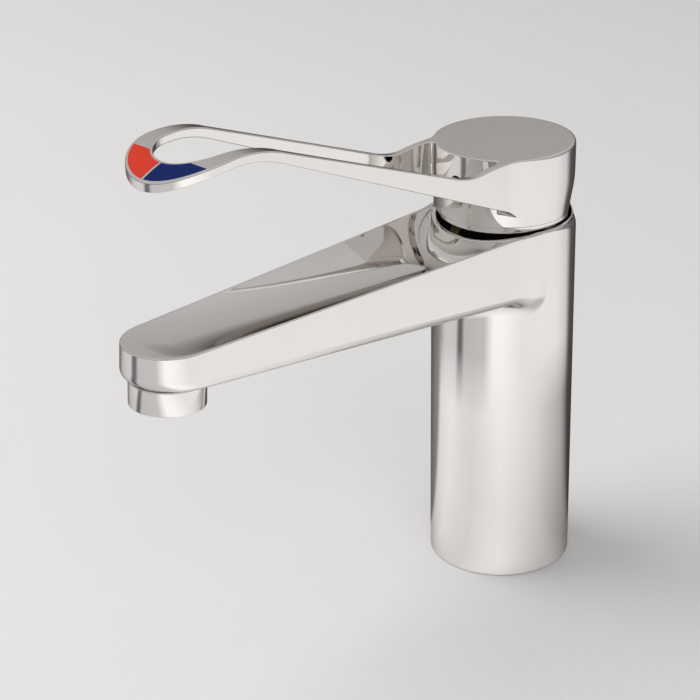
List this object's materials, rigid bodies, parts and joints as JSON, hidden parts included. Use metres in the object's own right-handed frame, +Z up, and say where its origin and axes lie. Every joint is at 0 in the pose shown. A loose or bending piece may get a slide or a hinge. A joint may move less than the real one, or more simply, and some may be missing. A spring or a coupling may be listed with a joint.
{
  "type": "elbow lever basin tap",
  "caption": "Chrome basin mixer tap with a round body, long dished spout, screw-in aerator and a looped elbow lever that lifts for flow and turns for temperature.",
  "frame": {"origin": "centre of the base on the deck it is fixed to", "axes": "+Z up, -Y along the spout towards the user, +X to the user's right"},
  "size_m": [0.05, 0.1876, 0.1866],
  "materials": {
    "chrome": "polished chrome plate over brass",
    "brass": "turned, uncoated",
    "black_rubber": "moulded matt",
    "black_plastic": "moulded matt",
    "red_plastic": "moulded matt",
    "pale_plastic": "moulded satin",
    "ceramic": "ground and lapped",
    "steel": "turned",
    "grey_plastic": "moulded satin",
    "hot_red": "glossy enamel-like inlay",
    "cold_blue": "glossy enamel-like inlay"
  },
  "bodies": {
    "tap": {"tap_body": "chrome", "base_gasket": "black_rubber", "port_seals": "black_rubber", "cartridge_base": "pale_plastic", "disc_seal": "black_rubber", "fixed_disc": "ceramic", "cartridge_housing": "black_plastic", "clamp_nut": "brass", "gap_ring": "black_plastic", "stop_ring": "red_plastic", "aerator_housing": "chrome", "aerator_insert": "grey_plastic", "flow_regulator": "grey_plastic", "stream_grid": "grey_plastic", "aerator_seal": "black_rubber"},
    "turn": {"spindle_guide": "pale_plastic", "slip_washer": "pale_plastic", "pivot_pin": "steel"},
    "lever": {"lever_handle": "chrome", "lever_insert": "grey_plastic", "spindle": "brass", "set_screw": "steel", "hot_marker": "hot_red", "cold_marker": "cold_blue"},
    "disc": {"moving_disc": "ceramic", "disc_driver": "pale_plastic"}
  },
  "joints": [
    {"name": "temperature_turn", "type": "hinge", "parent": "tap", "child": "turn", "pos_m": [0, 0, 0.1346], "axis": [0, 0, 1], "range_deg": [-45, 45]},
    {"name": "lever_lift", "type": "hinge", "parent": "turn", "child": "lever", "pos_m": [0, 0, 0.1346], "axis": [-1, 0, 0], "range_deg": [0, 18]},
    {"name": "disc_slide", "type": "slide", "parent": "turn", "child": "disc", "axis": [0, -1, 0], "range_m": [0, 0.004]}
  ],
  "couplings": [
    {"joint": "disc_slide", "follows": "lever_lift", "m_per_rad": 0.01141}
  ]
}
